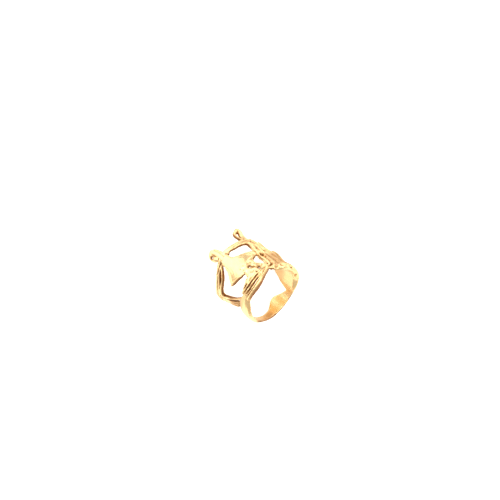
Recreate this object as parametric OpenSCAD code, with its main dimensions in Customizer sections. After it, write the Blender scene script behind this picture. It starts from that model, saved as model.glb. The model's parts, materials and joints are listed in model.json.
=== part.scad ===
// Finger ring cast in one piece: an openwork head of twigs and webs round the front of the finger,
// a plain shank behind it, and two prongs with eyes that stand past the far rim.
// The pattern is drawn flat, as angle round the finger against distance from the near rim, and
// wrapped round the finger. Angle 0 is the middle of the head and 180 the middle of the back.

/* [Finger] */
// Radius of the finger hole
bore_r = 9.25; // [8.25:0.25:10.5]
// Length of the head along the finger, without the prongs
head_length = 16; // [14:0.5:18]

/* [Casting] */
// Height of a common twig above the finger hole
twig_height = 1.15; // [0.9:0.05:1.5]
// Height of the plain shank above the finger hole
shank_height = 1.5; // [1.1:0.05:1.9]
// Height of the smooth front web above the finger hole
web_height = 1.1; // [0.8:0.05:1.4]
// Length along the finger, from the near rim to the prong tips
overall_length = 22.8; // [21:0.1:26]

/* [Resting place] */
// Turn round the finger before the ring is laid down
roll = 85.3; // [0:0.1:359]
// How far the finger hole leans over from upright, far rim down
lean = 132.1; // [0:0.1:180]
// Place of the finger hole's near end over the surface, from the middle of the ring's footprint
rest_place = [-0.1, 8.27, 11.06]; // [-20:0.01:20]

/* [Hidden] */

bronze = [0.80, 0.58, 0.27];
// The finger hole's cutter reaches past the casting at both ends
cutter_start = -5;
cutter_length = 40;
cutter_sides = 96;
// Twigs and webs start this far inside the finger hole. A core clears their feet away first,
// and the finger hole then trims them all to one wall.
buried = -0.6;
core_gap = 0.25;
core_sides = 48;
core_turn = 1.7;
// The prongs stand off the finger by this much, from this far along the drawn head
prong_clearance = 0.3;
prongs_from = 18;
// The round wall's own seam lies behind the finger, where the band is narrow
seam_angle = 224.6;
// Lengths along the finger are written for this head, and grow with head_length
drawn_head_length = 16;
along_scale = head_length / drawn_head_length;
// Millimetres round the finger for one degree, at the middle of the wall
mm_per_degree = (bore_r + twig_height / 2) * PI / 180;
// A twig's very ends, as a share of its full width and height
end_share = 0.7;
// The edges of a web, as a share of its full height
web_edge_share = 0.72;
web_points = 9;
// Slots start under the wall and reach out through it
slot_depth = 1;
slot_reach = 4;
slot_sides = 10;
// Steps from each row of a table to the next
twig_steps = 3;
web_steps = 2;
shank_steps = 2;

// Columns of a twig's table: angle, distance from the near rim, width,
// and height of its back over a common twig's
ANGLE = 0;
ALONG = 1;
WIDTH = 2;
RAISE = 3;

// Columns of a web's table: distance from the near rim, angles of its left and right edges, height
FROM_RIM = 0;
LEFT = 1;
RIGHT = 2;
HEIGHT = 3;

// Columns of the shank's table: angle, its near and far edges, height over the shank's own,
// and how far the foot of its near edge turns out
AROUND = 0;
NEAR = 1;
FAR = 2;
OVER = 3;
TURNED_OUT = 4;

// A twig's section: share of the half width, and share of the height from its foot
twig_outline = [[-0.8, 0], [-0.96, 0.72], [-0.4, 1], [0.4, 1], [0.96, 0.72], [0.8, 0]];
// The shank's section: share of the width from its near edge, and share of the height
shank_outline = [[0, 0], [0, 0.5], [0.1, 0.82], [0.34, 1], [0.66, 1], [0.9, 0.82], [1, 0.5], [1, 0]];

// A point of the flat pattern, wrapped round the finger
function wrap(angle, along, height) =
    let (r = bore_r + height)
    [r * cos(angle), r * sin(angle), along * along_scale];

// Row i of a table, held inside the table at both ends
function held_row(rows, i) = rows[max(0, min(len(rows) - 1, i))];

// The smooth curve through every row, at a share of the way from row i to the next
function curve_row(rows, i, share) =
    let (
        before = held_row(rows, i - 1),
        here = held_row(rows, i),
        next = held_row(rows, i + 1),
        after = held_row(rows, i + 2),
        slope = (next - before) / 2,
        bend = before - 2.5 * here + 2 * next - after / 2,
        twist = 1.5 * here - 1.5 * next + (after - before) / 2
    )
    here + share * slope + share * share * bend + share * share * share * twist;

function smooth(rows, steps) = [
    for (i = [0 : len(rows) - 2], k = [0 : steps - 1]) curve_row(rows, i, k / steps),
    rows[len(rows) - 1]
];

// The mean of a list of points
function middle(points) = [for (p = points) 1 / len(points)] * points;

// A closed skin over a row of sections, all with the same number of points
module skin(sections) {
    rings = len(sections);
    sides = len(sections[0]);
    points = [for (s = sections) each s, middle(sections[0]), middle(sections[rings - 1])];
    walls = [
        for (i = [0 : rings - 2], k = [0 : sides - 1])
            let (
                a = i * sides + k,
                b = i * sides + (k + 1) % sides
            )
            each [[a, b, b + sides], [a, b + sides, a + sides]]
    ];
    start_cap = [for (k = [0 : sides - 1]) [(k + 1) % sides, k, rings * sides]];
    last = (rings - 1) * sides;
    end_cap = [for (k = [0 : sides - 1]) [last + k, last + (k + 1) % sides, rings * sides + 1]];
    polyhedron(points, concat(walls, start_cap, end_cap));
}

// One section of a twig, square to its run over the flat pattern
function twig_section(path, i) =
    let (
        here = path[i],
        before = held_row(path, i - 1),
        after = held_row(path, i + 1),
        across = [(after[ANGLE] - before[ANGLE]) * mm_per_degree, after[ALONG] - before[ALONG]],
        run = across / norm(across),
        at_end = i == 0 || i == len(path) - 1,
        half = here[WIDTH] / 2 * (at_end ? end_share : 1),
        back = buried + (twig_height + here[RAISE] - buried) * (at_end ? end_share : 1)
    )
    [
        for (p = twig_outline)
            wrap(
                here[ANGLE] - p[0] * half * run[1] / mm_per_degree,
                here[ALONG] + p[0] * half * run[0],
                buried + p[1] * (back - buried)
            )
    ];

module twig(rows) {
    path = smooth(rows, twig_steps);
    skin([for (i = [0 : len(path) - 1]) twig_section(path, i)]);
}

// A web's section: its foot from left to right, then its outside from right to left
function web_section(row, points) = [
    wrap(row[LEFT], row[FROM_RIM], buried),
    wrap(row[RIGHT], row[FROM_RIM], buried),
    for (k = [0 : points - 1])
        let (
            share = k / (points - 1),
            edge = k == 0 || k == points - 1 ? web_edge_share : 1
        )
        wrap(row[RIGHT] + share * (row[LEFT] - row[RIGHT]), row[FROM_RIM], row[HEIGHT] * edge)
];

module web(rows, points = web_points) {
    skin([for (row = smooth(rows, web_steps)) web_section(row, points)]);
}

function shank_section(row) = [
    for (p = shank_outline)
        let (foot = buried + (p[0] < 0.5 ? row[TURNED_OUT] : 0))
        wrap(
            row[AROUND],
            row[NEAR] + p[0] * (row[FAR] - row[NEAR]),
            foot + p[1] * (shank_height + row[OVER] - foot)
        )
];

// The plain band behind the finger, whose near edge turns out into a lip at the right of the head
module shank() {
    // angle, near edge, far edge, height over, turned out
    rows = [
        [84, -0.2, 2.6, 0.1, 0.7],
        [100, -0.4, 2.6, 0.25, 1.3],
        [118, -0.4, 2.5, 0.3, 1.5],
        [134, -0.3, 2.4, 0.2, 1.3],
        [147, -0.1, 2.3, 0.05, 0.7],
        [158, 0.0, 2.6, -0.1, 0],
        [170, 0.0, 3.7, -0.15, 0],
        [180, 0.0, 4.8, -0.15, 0],
        [188, 0.0, 5.1, -0.1, 0],
        [198, 0.0, 4.4, 0.1, 0],
        [208, 0.0, 3.1, 0.35, 0],
        [220, 0.0, 2.3, 0.2, 0],
        [236, -0.1, 2.0, -0.2, 0],
        [254, -0.2, 2.0, -0.1, 0],
        [270, -0.3, 2.7, -0.2, 0],
        [284, -0.3, 3.9, -0.05, 0],
        [296, -0.1, 4.5, -0.1, 0],
        [308, 0.2, 4.7, -0.15, 0],
        [320, 0.8, 4.3, -0.25, 0],
        [331, 1.3, 3.6, -0.4, 0]
    ];
    skin([for (row = smooth(rows, shank_steps)) shank_section(row)]);
}

// The broad smooth web in the middle of the head
module front_web() {
    // distance from the near rim, left edge, right edge, height
    web([
        [6.9, -5, 3, web_height],
        [7.7, -17, 19, web_height],
        [8.4, -30, 26, web_height],
        [8.9, -37, 34, web_height],
        [9.5, -34, 42, web_height],
        [10.3, -30, 47, web_height],
        [11.3, -24, 41, web_height],
        [12.2, -20, 30, web_height],
        [13.2, -17, 15, web_height],
        [14.4, -15, 7, web_height],
        [15.8, -13, 6, web_height],
        [17.0, -12, 5, web_height]
    ]);
    // Its thick near edge: angle, distance from the near rim, width, raise
    twig([
        [-36, 9.1, 0.6, 0.05],
        [-28, 8.5, 0.8, 0.15],
        [-17, 7.9, 0.8, 0.2],
        [-7, 7.2, 0.8, 0.1]
    ]);
}

// The bundle along the far rim, from the neck of the front web round to the left corner
module far_rim_twigs() {
    // angle, distance from the near rim, width, raise
    twig([
        [-6, 17.0, 1.3, 0.1],
        [-18, 16.6, 1.0, 0.05],
        [-29, 15.9, 0.9, 0.05],
        [-42, 15.1, 1.0, 0.1],
        [-56, 14.8, 1.0, 0.2],
        [-68, 14.9, 1.1, 0.3],
        [-80, 15.1, 1.1, 0.6],
        [-91, 14.5, 1.1, 0.8],
        [-98, 13.0, 1.0, 0.6]
    ]);
    twig([
        [-10, 15.5, 1.0, 0],
        [-20, 15.4, 0.7, 0.05],
        [-31, 14.85, 0.6, 0.1],
        [-45, 14.0, 0.8, 0.1],
        [-60, 13.7, 1.0, 0.2],
        [-73, 13.9, 1.0, 0.35],
        [-85, 13.8, 1.0, 0.5],
        [-90, 12.0, 1.1, 0.4]
    ]);
    twig([
        [-19, 15.1, 0.7, -0.1],
        [-28, 13.8, 0.6, 0.05],
        [-38, 13.0, 0.6, 0.05],
        [-50, 12.9, 0.8, 0.05],
        [-62, 13.1, 0.9, 0.1],
        [-72, 13.2, 1.0, 0.2],
        [-80, 12.9, 1.0, 0.3],
        [-84, 11.6, 0.9, 0.2]
    ]);
}

// The twigs that run from the left corner back to the shank
module left_twigs() {
    // angle, distance from the near rim, width, raise
    twig([
        [-69, 13.4, 0.9, 0.1],
        [-76, 12.4, 1.0, 0.15],
        [-67.5, 9.9, 0.9, 0.1],
        [-58, 7.2, 0.8, 0.05],
        [-48, 4.9, 0.8, 0],
        [-41, 3.7, 0.8, 0]
    ]);
    twig([
        [-80, 13.3, 0.9, 0.3],
        [-79.5, 11.2, 0.9, 0.15],
        [-72, 9.0, 0.7, 0.05],
        [-62.5, 6.6, 0.6, 0],
        [-53, 4.2, 0.7, 0]
    ]);
    twig([
        [-87, 13.6, 1.0, 0.45],
        [-84, 11.4, 0.9, 0.3],
        [-76.5, 9.2, 0.8, 0.2],
        [-67, 6.6, 0.7, 0.15],
        [-58, 4.2, 0.8, 0.1]
    ]);
    twig([
        [-98, 13.4, 1.0, 0.6],
        [-92, 11.6, 1.1, 0.45],
        [-82, 9.6, 1.0, 0.25],
        [-72, 6.8, 0.9, 0.15],
        [-64, 4.3, 0.9, 0.1]
    ]);
}

// The bundle of twigs along the near rim, between the shank and the right side
module front_twigs() {
    // angle, distance from the near rim, width, raise
    twig([
        [-38, 1.4, 1.1, 0.1],
        [-25, 1.0, 1.0, 0.35],
        [-8, 0.5, 1.1, 0.7],
        [8, 0.9, 1.0, 0.6],
        [20, 1.8, 1.0, 0.25],
        [32, 2.5, 1.0, 0]
    ]);
    twig([
        [-36, 2.5, 0.8, 0],
        [-20, 1.8, 0.7, -0.1],
        [-4, 1.6, 0.7, -0.1],
        [12, 2.0, 0.7, -0.1],
        [22, 2.5, 0.8, -0.1]
    ]);
    twig([
        [-35, 3.1, 0.8, 0.1],
        [-20, 2.7, 0.7, 0.05],
        [-4, 2.6, 0.7, 0.05],
        [12, 2.8, 0.7, 0],
        [26, 2.9, 0.9, 0]
    ]);
    twig([
        [-32, 3.9, 0.7, 0],
        [-20, 3.6, 0.7, 0.05],
        [-6, 3.6, 0.8, 0.1],
        [8, 3.6, 0.8, 0.05],
        [22, 3.5, 0.9, 0]
    ]);
    twig([
        [-36, 3.9, 0.8, -0.1],
        [-24, 4.3, 0.7, 0],
        [-14, 4.6, 0.7, 0],
        [-6, 5.4, 0.8, 0]
    ]);
    twig([
        [-14, 4.0, 0.7, 0],
        [-4, 4.6, 0.9, 0.1],
        [5, 5.5, 0.9, 0.1],
        [8, 7.0, 0.9, 0]
    ]);
}

// A long hole through the wall, or a round one where its length is its width
module slot(angle, along, length, width) {
    rotate([0, 0, angle])
        translate([bore_r - slot_depth, 0, along * along_scale])
            rotate([0, 90, 0])
                scale([length / width, 1, 1])
                    cylinder(h = slot_reach, r = width / 2, $fn = slot_sides);
}

// The crinkled patch between the front web and the near rim
module crinkled_patch() {
    // distance from the near rim, left edge, right edge, height
    web([
        [2.4, 6, 42, 0.75],
        [3.6, -7, 42, 0.8],
        [5.0, -5, 34, 1.05],
        [6.2, -3, 27, 1.15],
        [7.6, 0, 26, 1.15],
        [9.0, 6, 30, 0.95]
    ]);
    // angle, distance from the near rim, width, raise
    twig([
        [9, 3.4, 0.8, -0.05],
        [14, 4.8, 0.7, 0],
        [19, 6.0, 0.7, -0.05],
        [22, 7.6, 0.7, -0.05],
        [28, 9.0, 0.7, -0.05]
    ]);
    twig([
        [36, 3.2, 0.9, 0],
        [31, 5.2, 0.7, -0.05],
        [26, 6.7, 0.6, -0.1],
        [25, 8.0, 0.7, -0.05],
        [32, 9.4, 0.7, -0.05]
    ]);
}

// The front web and the crinkled patch, with two small round holes through them
module holed_front() {
    difference() {
        union() {
            front_web();
            crinkled_patch();
        }
        slot(12.4, 7.1, 1.1, 1.1);
        slot(22.6, 4.7, 1.1, 1.1);
    }
}

// The ribbed side of the head, from the right prong down to the near rim
module right_side() {
    difference() {
        // distance from the near rim, left edge, right edge, height
        web([
            [-0.2, 60, 104, 0.7],
            [1.2, 42, 108, 0.7],
            [3.4, 38, 110, 0.7],
            [5.6, 40, 106, 0.7],
            [7.8, 41, 101, 0.7],
            [9.8, 42, 97, 0.7],
            [11.6, 45, 94, 0.7],
            [13.2, 49, 88, 0.7],
            [15.2, 53, 76, 0.7]
        ]);
        slot(77, 7.4, 3.4, 0.7);
    }
    // angle, distance from the near rim, width, raise
    twig([
        [56, 16.6, 1.3, 0.1],
        [67, 15.0, 1.3, 0.15],
        [66, 11.4, 1.1, 0.2],
        [72, 9.0, 1.2, 0.3],
        [73, 5.6, 1.2, 0.3],
        [79, 2.4, 1.4, 0.3],
        [92, 0.3, 1.3, 0.6]
    ]);
    twig([
        [51, 15.6, 1.0, 0.1],
        [49, 13.0, 0.9, 0.1],
        [47, 10.6, 1.0, 0.1],
        [43, 8.4, 0.9, 0],
        [44, 6.0, 0.9, 0],
        [42, 3.6, 1.1, 0],
        [28, 3.0, 1.0, 0]
    ]);
    twig([
        [59, 14.2, 0.9, 0],
        [58, 10.8, 0.9, 0.05],
        [53, 7.6, 1.0, 0.05],
        [52, 4.6, 1.1, 0.05],
        [46, 2.2, 1.2, 0.05],
        [36, 2.2, 1.0, 0]
    ]);
    twig([
        [62, 9.6, 1.0, 0.05],
        [63, 6.2, 1.1, 0.15],
        [64, 3.2, 1.2, 0.2],
        [67, 1.0, 1.2, 0.3],
        [80, 0.4, 1.1, 0.3]
    ]);
    // The fold that stands out at the right, with a blunt end
    twig([
        [80, 9.3, 1.1, 0.65],
        [83, 8.2, 1.3, 0.7],
        [85, 6.2, 1.2, 0.45],
        [88, 4.4, 1.1, 0],
        [90, 3.0, 1.2, 0],
        [97, 1.0, 1.3, 0.4]
    ]);
    twig([
        [74, 15.0, 1.0, 0.15],
        [81, 13.0, 1.1, 0],
        [86, 11.0, 1.1, -0.3],
        [92, 8.6, 1.1, 0.1],
        [95, 5.4, 1.1, 0.1],
        [100, 2.2, 1.2, 0.1]
    ]);
    twig([
        [60, 2.4, 1.1, 0],
        [52, 1.0, 1.1, 0.05],
        [58, 0.3, 1.0, 0.1],
        [74, 0.2, 1.1, 0.1]
    ]);
    // The curl above the small opening
    twig([
        [42, 6.8, 0.6, 0.1],
        [42, 8.2, 0.6, 0.3],
        [46, 9.0, 0.6, 0.4],
        [51, 8.3, 0.6, 0.4],
        [50, 7.2, 0.6, 0.4],
        [46, 7.2, 0.5, 0.3]
    ]);
}

// The smooth web inside the right side, which runs from the shank up the side of the finger
module side_web() {
    // distance from the near rim, left edge, right edge, height
    web([
        [1.0, 100, 157, 0.8],
        [2.8, 100, 156, 0.8],
        [4.6, 98, 153, 0.8],
        [6.6, 96, 147, 0.8],
        [8.6, 92, 140, 0.8],
        [10.4, 86, 128, 0.8],
        [12.0, 80, 110, 0.8],
        [13.2, 76, 94, 0.8]
    ], 7);
}

// The bar across the top of the head, between the two prongs
module cross_bar() {
    // angle, distance from the near rim, width, raise
    twig([
        [-2, 17.4, 1.8, 0],
        [9, 17.4, 1.6, 0.1],
        [21, 17.1, 1.4, 0.1],
        [34, 16.8, 1.4, 0.15],
        [48, 16.3, 1.6, 0.15],
        [61, 15.8, 1.6, 0.1]
    ]);
    twig([
        [6, 16.2, 1.4, 0],
        [12, 16.8, 1.0, -0.05],
        [24, 16.25, 0.8, -0.05],
        [40, 15.85, 0.8, 0],
        [54, 15.2, 1.0, 0]
    ]);
}

// The prong that carries on from the front web, with a small round eye low on its left side
module left_prong() {
    difference() {
        // angle, distance from the near rim, width, raise
        union() {
            twig([
                [-5, 15.6, 2.6, 0.1],
                [-4, 17.6, 2.4, 0.1],
                [-5, 19.4, 2.2, 0.1],
                [-8, 21.0, 2.0, 0.1],
                [-11, 22.0, 1.4, 0]
            ]);
            twig([
                [-9, 17.5, 1.6, 0],
                [-14, 18.7, 2.2, 0.1],
                [-15, 19.8, 2.4, 0.15],
                [-13.5, 20.9, 2.0, 0.1],
                [-9, 21.6, 1.2, 0]
            ]);
        }
        slot(-15, 19.7, 1.1, 1.0);
    }
    twig([
        [1, 17.2, 1.2, 0],
        [2, 18.4, 0.9, 0],
        [0, 20.2, 0.8, 0],
        [-4, 21.4, 0.8, 0]
    ]);
}

// The prong at the right of the cross bar, with a long eye
module right_prong() {
    // angle, distance from the near rim, width, raise
    twig([
        [55, 15.0, 1.8, 0.1],
        [54.5, 17.0, 1.9, 0.15],
        [56, 18.9, 1.8, 0.3],
        [60.5, 20.5, 1.7, 0.5],
        [60, 21.7, 1.4, 0.6],
        [54, 21.8, 1.1, 0.6]
    ]);
    twig([
        [49.5, 16.8, 1.4, 0.1],
        [45.8, 17.8, 0.8, 0.15],
        [44.2, 18.9, 0.7, 0.2],
        [44.8, 20.0, 0.8, 0.35],
        [48.5, 20.9, 1.2, 0.5],
        [56, 21.4, 1.4, 0.6]
    ]);
}

module casting() {
    difference() {
        union() {
            shank();
            holed_front();
            far_rim_twigs();
            left_twigs();
            front_twigs();
            right_side();
            side_web();
            cross_bar();
            left_prong();
            right_prong();
        }
        rotate([0, 0, core_turn]) {
            translate([0, 0, cutter_start])
                cylinder(h = cutter_length, r = bore_r - core_gap, $fn = core_sides);
            translate([0, 0, prongs_from * along_scale])
                cylinder(h = cutter_length, r = bore_r + prong_clearance, $fn = core_sides);
        }
    }
}

// The ring lies on the far corner of its left side, the edge of its right side and the tip of a prong
module cast_ring() {
    color(bronze)
        translate(rest_place)
            rotate([lean, 0, 0])
                rotate([0, 0, roll])
                    difference() {
                        resize([0, 0, overall_length]) casting();
                        translate([0, 0, cutter_start])
                            rotate([0, 0, seam_angle])
                                cylinder(h = cutter_length, r = bore_r, $fn = cutter_sides);
                    }
}

cast_ring();
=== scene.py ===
import json

import bmesh
import bpy
import numpy as np
from mathutils import Matrix, Vector


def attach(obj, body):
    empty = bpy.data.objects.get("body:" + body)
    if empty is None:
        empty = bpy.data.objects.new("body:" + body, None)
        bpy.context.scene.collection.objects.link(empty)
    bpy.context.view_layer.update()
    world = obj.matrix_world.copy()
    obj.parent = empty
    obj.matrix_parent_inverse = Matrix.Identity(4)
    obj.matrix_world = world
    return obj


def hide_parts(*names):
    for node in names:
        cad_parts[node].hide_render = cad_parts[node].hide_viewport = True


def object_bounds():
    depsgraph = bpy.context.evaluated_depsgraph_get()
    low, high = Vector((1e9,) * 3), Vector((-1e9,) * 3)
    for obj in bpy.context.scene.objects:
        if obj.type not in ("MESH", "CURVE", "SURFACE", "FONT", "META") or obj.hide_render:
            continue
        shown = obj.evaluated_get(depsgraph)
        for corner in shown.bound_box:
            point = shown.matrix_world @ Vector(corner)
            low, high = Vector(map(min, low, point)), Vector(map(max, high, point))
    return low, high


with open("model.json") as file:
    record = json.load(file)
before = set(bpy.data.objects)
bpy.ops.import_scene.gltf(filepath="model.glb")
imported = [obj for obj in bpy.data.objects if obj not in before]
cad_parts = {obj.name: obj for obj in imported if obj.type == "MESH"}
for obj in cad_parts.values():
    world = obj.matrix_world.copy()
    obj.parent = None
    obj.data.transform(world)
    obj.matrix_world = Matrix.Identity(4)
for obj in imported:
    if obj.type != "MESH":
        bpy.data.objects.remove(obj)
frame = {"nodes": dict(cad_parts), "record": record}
cad_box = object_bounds()


# The casting. The real ring is one lost-wax casting in yellow bronze: threads and sheets of soft
# wax were laid round a finger-sized core, pinched together and cast, so every twig melts into its
# neighbour. It is filed inside, and polished where a cloth reaches.
MM = 0.001
SHORTEST_EDGE = 0.0005 * MM
GRID = 0.1 * MM            # the melt that runs the twigs together
SLUMP = 0.5                # how far an edge of the wax slumps in each round
SLUMP_ROUNDS = 5

cad_ring = frame["nodes"]["cast_ring"]
shape = bmesh.new()
shape.from_mesh(cad_ring.data)
bmesh.ops.remove_doubles(shape, verts=shape.verts, dist=SHORTEST_EDGE)
ring_mesh = bpy.data.meshes.new("ring_casting")
shape.to_mesh(ring_mesh)
shape.free()
ring = bpy.data.objects.new("ring_casting", ring_mesh)
bpy.context.scene.collection.objects.link(ring)


def applied(piece, kind, **settings):
    """Gives a piece one modifier and makes its result the piece's own mesh."""
    modifier = piece.modifiers.new(kind.lower(), kind)
    for name, value in settings.items():
        setattr(modifier, name, value)
    result = bpy.data.meshes.new_from_object(
        piece.evaluated_get(bpy.context.evaluated_depsgraph_get()))
    piece.modifiers.clear()
    piece.data = result


applied(ring, "REMESH", mode="VOXEL", voxel_size=GRID)
wax = bmesh.new()
wax.from_mesh(ring.data)
for _ in range(SLUMP_ROUNDS):
    bmesh.ops.smooth_vert(wax, verts=wax.verts, factor=SLUMP,
                          use_axis_x=True, use_axis_y=True, use_axis_z=True)
wax.to_mesh(ring.data)
wax.free()

# The twigs keep the grain of the drawn wax: fine ridges that run along each of them. The way a
# twig runs is the one direction that none of the normals round it point in.
NEIGHBOURHOOD = 24         # steps of the grid over which a twig's direction is averaged
SHEET, TWIG = 0.06, 0.2    # how much the normals turn across a flat sheet and across a thin twig
GRAIN_DEPTH = 0.03 * MM
SHEET_GRAIN = 0.15         # the share of that depth which a flat sheet has
GRAIN_WIDTH = 2            # steps of the grid
GRAIN_LENGTH = 90
GRAIN_STRAIGHT = 6         # how closely the grain keeps to the way the twig runs
GRAIN_SEED = 7


def mesh_arrays(mesh):
    """The points, the edges and the normals of a mesh."""
    points = np.empty(len(mesh.vertices) * 3)
    mesh.vertices.foreach_get("co", points)
    edges = np.empty(len(mesh.edges) * 2, int)
    mesh.edges.foreach_get("vertices", edges)
    normals = np.empty(len(mesh.vertices) * 3)
    mesh.vertices.foreach_get("normal", normals)
    return points.reshape(-1, 3), edges.reshape(-1, 2), normals.reshape(-1, 3)


def spread(values, edges, weights, rounds):
    """Averages a value at each vertex with its neighbours', as much as each edge's weight says."""
    size = len(values)
    total = 1 + sum(np.bincount(edges[:, end], weights, size) for end in (0, 1))
    for _ in range(rounds):
        fresh = values.copy()
        for column in range(values.shape[1]):
            for here, there in ((0, 1), (1, 0)):
                fresh[:, column] += np.bincount(
                    edges[:, here], weights * values[edges[:, there], column], size)
        values = fresh / total[:, None]
    return values


def noise(seed, edges, *passes):
    """Seeded noise between -2 and 2, drawn out over the mesh by each pass's weights and rounds."""
    values = np.random.default_rng(seed).normal(size=(len(points), 1))
    for weights, rounds in passes:
        values = spread(values, edges, weights, rounds)
    return np.clip(values[:, 0] / values.std(), -2, 2)


def ramp(value, low, high):
    """0 up to low, 1 from high on, and straight between them."""
    return np.clip((value - low) / (high - low), 0, 1)


points, edges, normals = mesh_arrays(ring.data)
even = np.ones(len(edges))
pairs = [(0, 0), (0, 1), (0, 2), (1, 1), (1, 2), (2, 2)]
products = np.stack([normals[:, a] * normals[:, b] for a, b in pairs], 1)
products = spread(products, edges, even, NEIGHBOURHOOD)
tensor = np.empty((len(points), 3, 3))
for column, (a, b) in enumerate(pairs):
    tensor[:, a, b] = tensor[:, b, a] = products[:, column]
strengths, directions = np.linalg.eigh(tensor)
run = directions[:, :, 0]
twiggy = ramp(strengths[:, 1], SHEET, TWIG)
steps = points[edges[:, 1]] - points[edges[:, 0]]
steps /= np.linalg.norm(steps, axis=1)[:, None]
along = np.abs((steps * run[edges[:, 0]]).sum(1)) ** GRAIN_STRAIGHT
grain = noise(GRAIN_SEED, edges, (even, GRAIN_WIDTH), (along, GRAIN_LENGTH))
depth = GRAIN_DEPTH * (SHEET_GRAIN + (1 - SHEET_GRAIN) * twiggy)
moved = points + normals * (grain * depth)[:, None]

# Places on the ring are given as the angle round the finger from the middle of the head, and the
# millimetres from the near rim. A patch is a range of each.
HEAD = np.array([0.0819, -0.6682, 0.7395])     # the way the middle of the head faces
SKIN = 1                                       # millimetres from the hole to the casting's skin

hole = frame["record"]["mounts"][0]
axis = np.array(hole["axis"])
from_hole = moved - np.array(hole["pos_m"])
far = -(from_hole @ axis)
outward = from_hole + far[:, None] * axis
outward /= np.linalg.norm(outward, axis=1)[:, None]
angle = np.degrees(np.arctan2(outward @ np.cross(-axis, HEAD), outward @ HEAD))
far /= MM
mm_per_degree = np.radians(1) * (hole["dims"]["r_mm"] + SKIN)
flat = np.stack([angle * mm_per_degree, far], 1)


def flat_place(place):
    """A place's millimetres round the finger and along it."""
    return np.array([place[0] * mm_per_degree, place[1]])


def faded(value, low, high, edge):
    """1 between low and high, fading to 0 at both over the width of the edge."""
    return np.clip((value - low) / edge, 0, 1) * np.clip((high - value) / edge, 0, 1)


def patch(angles, lengths, edge):
    """1 in a patch, fading at its edges over so many degrees and so many millimetres."""
    return faded(angle, *angles, edge[0]) * faded(far, *lengths, edge[1])


def near_place(place, reach):
    """1 round a place, and 0 from a little past the reach on, in millimetres."""
    away = np.linalg.norm(flat - flat_place(place), axis=1)
    return np.exp(-(away / reach) ** 4)


# The walls of the two small holes in the head, and of the left prong's eye, swell into them.
SMALL_HOLES = [(12.4, 7.1), (22.6, 4.7), (-15, 19.7)]
SWOLLEN = 0.17 * MM
HOLE_REACH = 0.8
facing_out = (normals * outward).sum(1)
for place in SMALL_HOLES:
    swell = SWOLLEN * (1 - np.abs(facing_out)) * near_place(place, HOLE_REACH)
    moved += normals * swell[:, None]

# Round the two small holes, and along the ribs of the right side, the wax was pinched into
# crinkles. Each patch: its angles, its millimetres and its share of the full depth.
CRINKLED = [((-2, 40), (2.5, 9.5), 1.0),
            ((42, 104), (1, 15), 0.6)]
CRINKLE_EDGE = (2.5, 0.5)
CRINKLE_DEPTH = 0.09 * MM
CRINKLE_WIDTH = 60         # steps of the grid
CRINKLE_SEED = 3
crinkle = noise(CRINKLE_SEED, edges, (even, CRINKLE_WIDTH))
crinkled = sum(share * patch(angles, lengths, CRINKLE_EDGE)
               for angles, lengths, share in CRINKLED)
outside = np.clip(facing_out, 0, 1)
moved += normals * (CRINKLE_DEPTH * crinkle * crinkled * outside)[:, None]

# Two grooves were pressed into the wax: each one's two ends, its half width and its depth in
# millimetres. The first joins the two small holes, and the second is the fold where the left
# bundle leaves the neck.
GROOVES = [((12.4, 7.1), (22.6, 4.7), 0.3, 0.35),
           ((-14, 15.7), (-19, 15.2), 0.4, 0.4)]
for first, last, half_width, dent in GROOVES:
    start = flat_place(first)
    length = flat_place(last) - start
    share = np.clip((flat - start) @ length / (length @ length), 0, 1)
    away = np.linalg.norm(flat - start - share[:, None] * length, axis=1)
    pressed = dent * MM * outside * np.exp(-2 * (away / half_width) ** 2)
    moved -= outward * pressed[:, None]
ring.data.vertices.foreach_set("co", moved.ravel())
ring.data.update()

# Painted shade, brown like a casting's film: what faces straight out from the finger or in towards
# it is left bright, and the walls of the openings and the bottoms of the folds are painted darker.
WALL_FROM, WALL_TO = 0.3, 0.75     # how far a face is turned away from straight out or in, for the painted shade on walls
FOLD_FROM, FOLD_TO = 0.012, 0.075  # how deep the skin lies under its surroundings, millimetres
FOLD_WIDTH = 20                    # steps of the grid
SOFT = 2                           # steps of the grid over which the painted shade fades

points, edges, normals = mesh_arrays(ring.data)
facing_out = (normals * outward).sum(1)
facing = np.abs((spread(normals, edges, even, SOFT) * outward).sum(1))
wall_shade = ramp(1 - facing, WALL_FROM, WALL_TO)
surroundings = spread(moved, edges, even, FOLD_WIDTH)
fold_shade = ramp(((surroundings - moved) * normals).sum(1) / MM, FOLD_FROM, FOLD_TO)

# The painted shade of the walls is mostly taken off the rim's own face on the band and on the
# thick strand at the left, and off the right edge of the two openings in the head.
UNSHADED = [((38, 160), (-2, 2.2)),
        ((-105, -30), (-2, 2.6)),
        ((34, 58), (4.5, 13))]
UNSHADED_EDGE = (10, 0.8)
UNSHADED_SHARE = 0.85
for angles, lengths in UNSHADED:
    wall_shade *= 1 - UNSHADED_SHARE * patch(angles, lengths, UNSHADED_EDGE)

# The folds of the left bundle stand open, and get less of the painted shade.
OPEN_FOLDS = ((-105, -20), (2, 17.5))
OPEN_EDGE = (10, 1.5)
OPEN_SHARE = 0.65
fold_shade *= 1 - OPEN_SHARE * patch(*OPEN_FOLDS, OPEN_EDGE)
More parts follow.
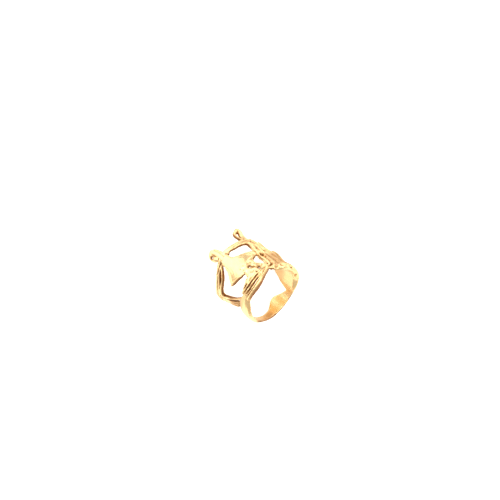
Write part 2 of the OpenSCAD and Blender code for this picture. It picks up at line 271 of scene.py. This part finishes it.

# Painted shade on the open metal where these places fall in shade. Each patch: its angles, its
# millimetres, its side (-1 inside, 1 outside) and its share of the full painted shade.
INSIDE, OUTSIDE = -1, 1
SHADED_PATCHES = [((-158, -60), (-1, 3), INSIDE, 0.3),        # the band's narrow part
           ((98, 162), (4.3, 13), INSIDE, 0.3),        # the side web past the band
           ((-90, -45), (2, 9.5), OUTSIDE, 0.6),       # the low left twigs
           ((-58, -18), (12.2, 14.2), OUTSIDE, 0.1),   # the innermost left twig
           ((36, 70), (14.2, 19), OUTSIDE, 0.35),      # the root of the right prong
           ((-58, -24), (1.5, 5.5), OUTSIDE, 0.35),    # where the front twigs meet the rim
           ((42, 92), (0.8, 8.5), OUTSIDE, 0.5)]       # the ribs of the right side
SHADE_PATCH_EDGE = (12, 1.5)
HOLE_SHADE = 0.9                                        # painted shade beside the small holes
patch_shade = np.zeros(len(points))
for angles, lengths, side, share in SHADED_PATCHES:
    turned = np.clip(2 * side * facing_out, 0, 1)
    patch_shade += share * patch(angles, lengths, SHADE_PATCH_EDGE) * turned
for place in SMALL_HOLES:
    patch_shade += HOLE_SHADE * near_place(place, HOLE_REACH)
patch_shade = np.clip(patch_shade, 0, 1)
# All the painted shade together: on the walls, in the folds, in the patches and beside the holes.
painted_shade = 1 - (1 - wall_shade) * (1 - fold_shade) * (1 - patch_shade)
painted_shade = spread(painted_shade[:, None], edges, even, SOFT)[:, 0]
layer = ring.data.attributes.new("painted_shade", "FLOAT", "POINT")
layer.data.foreach_set("value", painted_shade.astype(np.float32))

TRIANGLES = 190000
count = sum(len(face.vertices) - 2 for face in ring.data.polygons)
applied(ring, "DECIMATE", ratio=min(1, TRIANGLES / count))
for face in ring.data.polygons:
    face.use_smooth = True


def colour(code):
    """An sRGB hex value as a linear colour."""
    parts = [int(code[i:i + 2], 16) / 255 for i in (1, 3, 5)]
    return [p / 12.92 if p <= 0.04045 else ((p + 0.055) / 1.055) ** 2.4 for p in parts] + [1]


def new_material(name):
    """An empty material."""
    material = bpy.data.materials.new(name)
    material.use_nodes = True
    material.node_tree.nodes.clear()
    return material


def node(material, kind, links=None, values=None, **properties):
    """Adds a node, sets its properties and the values of its sockets, and links the rest."""
    tree = material.node_tree
    made = tree.nodes.new("ShaderNode" + kind)
    for name, value in properties.items():
        setattr(made, name, value)
    for socket, value in (values or {}).items():
        made.inputs[socket].default_value = value
    for socket, source in (links or {}).items():
        tree.links.new(source, made.inputs[socket])
    return made


# Cast yellow bronze, polished by hand: pale gold and bright on the high places, satin on the
# sheets, and painted shade, dark brown, in the folds and on the walls.
CLOUD_SIZE = 1.6 * MM
PIT_SIZE = 0.25 * MM
PIT_DEPTH = 0.03 * MM
bronze = new_material("cast_yellow_bronze")
shade_share = node(bronze, "Attribute", attribute_name="painted_shade").outputs["Fac"]
place = node(bronze, "TexCoord").outputs["Object"]
cloud = node(bronze, "TexNoise", {"Vector": place}, {"Scale": 1 / CLOUD_SIZE, "Detail": 4})
tint = node(bronze, "MixRGB", {"Fac": cloud.outputs["Fac"]},
            {"Color1": colour("#EBC489"), "Color2": colour("#F1D3A0")})
# Painted shade: the tint is mixed towards dark brown as far as the painted shade attribute says.
shaded_tint = node(bronze, "MixRGB", {"Fac": shade_share, "Color1": tint.outputs["Color"]},
             {"Color2": colour("#86552A")})
rough = node(bronze, "MapRange", {"Value": shade_share}, {"To Min": 0.24, "To Max": 0.5})
pits = node(bronze, "TexNoise", {"Vector": place}, {"Scale": 1 / PIT_SIZE, "Detail": 3})
bump = node(bronze, "Bump", {"Height": pits.outputs["Fac"]},
            {"Strength": 0.35, "Distance": PIT_DEPTH})
shader = node(bronze, "BsdfPrincipled", {
    "Base Color": shaded_tint.outputs["Color"], "Roughness": rough.outputs["Result"],
    "Normal": bump.outputs["Normal"]}, {"Metallic": 1})
node(bronze, "OutputMaterial", {"Surface": shader.outputs["BSDF"]})
ring.data.materials.clear()
ring.data.materials.append(bronze)

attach(ring, "root")
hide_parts("cast_ring")


# The floor. A sheet of white acrylic, lit from below as well, so that it reads as plain white.
FLOOR_SIZE = 1.2
sheet = bmesh.new()
bmesh.ops.create_grid(sheet, x_segments=1, y_segments=1, size=FLOOR_SIZE / 2)
floor_mesh = bpy.data.meshes.new("floor")
sheet.to_mesh(floor_mesh)
sheet.free()
floor = bpy.data.objects.new("floor", floor_mesh)
bpy.context.scene.collection.objects.link(floor)
acrylic = new_material("white_acrylic_sheet")
lit = node(acrylic, "BsdfPrincipled", None, {
    "Base Color": colour("#F6F4F1"), "Roughness": 0.6,
    "Emission Color": colour("#FFFDFA"), "Emission Strength": 0.5})
node(acrylic, "OutputMaterial", {"Surface": lit.outputs["BSDF"]})
floor_mesh.materials.append(acrylic)


# The camera. It looks down on the lying ring from 78 degrees over the floor, as the photograph
# does, and the ring lies at the photograph's place and scale in the picture.
PHOTO_WIDTH = 500
PIXELS_PER_MM = 3.24
RING_AT = (252.64, 277.54)   # where the middle of the ring's box lies in the photograph
LENS = 100
SENSOR = 36
# The picture's own directions: to its right, up it, and out of it towards the camera
RIGHT = Vector((-0.6464, 0.7388, 0.1902))
UP = Vector((-0.7597, -0.6463, -0.0713))
TOWARDS = Vector((0.0702, -0.1906, 0.9792))

middle = (cad_box[0] + cad_box[1]) / 2
distance = LENS / SENSOR * PHOTO_WIDTH / PIXELS_PER_MM * MM
eye = middle + TOWARDS * distance
half = PHOTO_WIDTH / 2
aim = middle + (RIGHT * (half - RING_AT[0]) + UP * (RING_AT[1] - half)) / PIXELS_PER_MM * MM
back = (eye - aim).normalized()
side = UP.cross(back).normalized()
turned = Matrix((side, back.cross(side), back)).transposed().to_4x4()
camera = bpy.data.objects.new("camera", bpy.data.cameras.new("camera"))
camera.data.lens = LENS
camera.data.sensor_width = SENSOR
camera.data.clip_start = 0.01
camera.data.clip_end = 10
camera.matrix_world = Matrix.Translation(eye) @ turned
bpy.context.scene.collection.objects.link(camera)
bpy.context.scene.camera = camera


# The light. A large soft box overhead, a smaller one at the picture's right and a low one at its
# top left, in a pale room. Each box: its name, the way it lies from the ring, its distance and
# its width in metres, and its watts.
BOXES = [("overhead_box", Vector((-0.3, -0.4, 1.3)), 0.7, 1.2, 5.0),
         ("right_box", RIGHT + 0.6 * TOWARDS, 0.7, 0.6, 2.2),
         ("side_box", Vector((0.07, -0.95, 0.4)), 0.6, 0.6, 1.35)]
for name, towards, reach, width, power in BOXES:
    light = bpy.data.objects.new(name, bpy.data.lights.new(name, "AREA"))
    light.data.shape = "DISK"
    light.data.size = width
    light.data.energy = power
    light.location = middle + towards.normalized() * reach
    light.rotation_mode = "QUATERNION"
    light.rotation_quaternion = (light.location - middle).to_track_quat("Z", "Y")
    bpy.context.scene.collection.objects.link(light)

room = bpy.data.worlds.new("room")
room.use_nodes = True
room.node_tree.nodes["Background"].inputs["Color"].default_value = colour("#F4F1EC")
room.node_tree.nodes["Background"].inputs["Strength"].default_value = 0.9
bpy.context.scene.world = room
bpy.context.scene.view_settings.view_transform = "Standard"
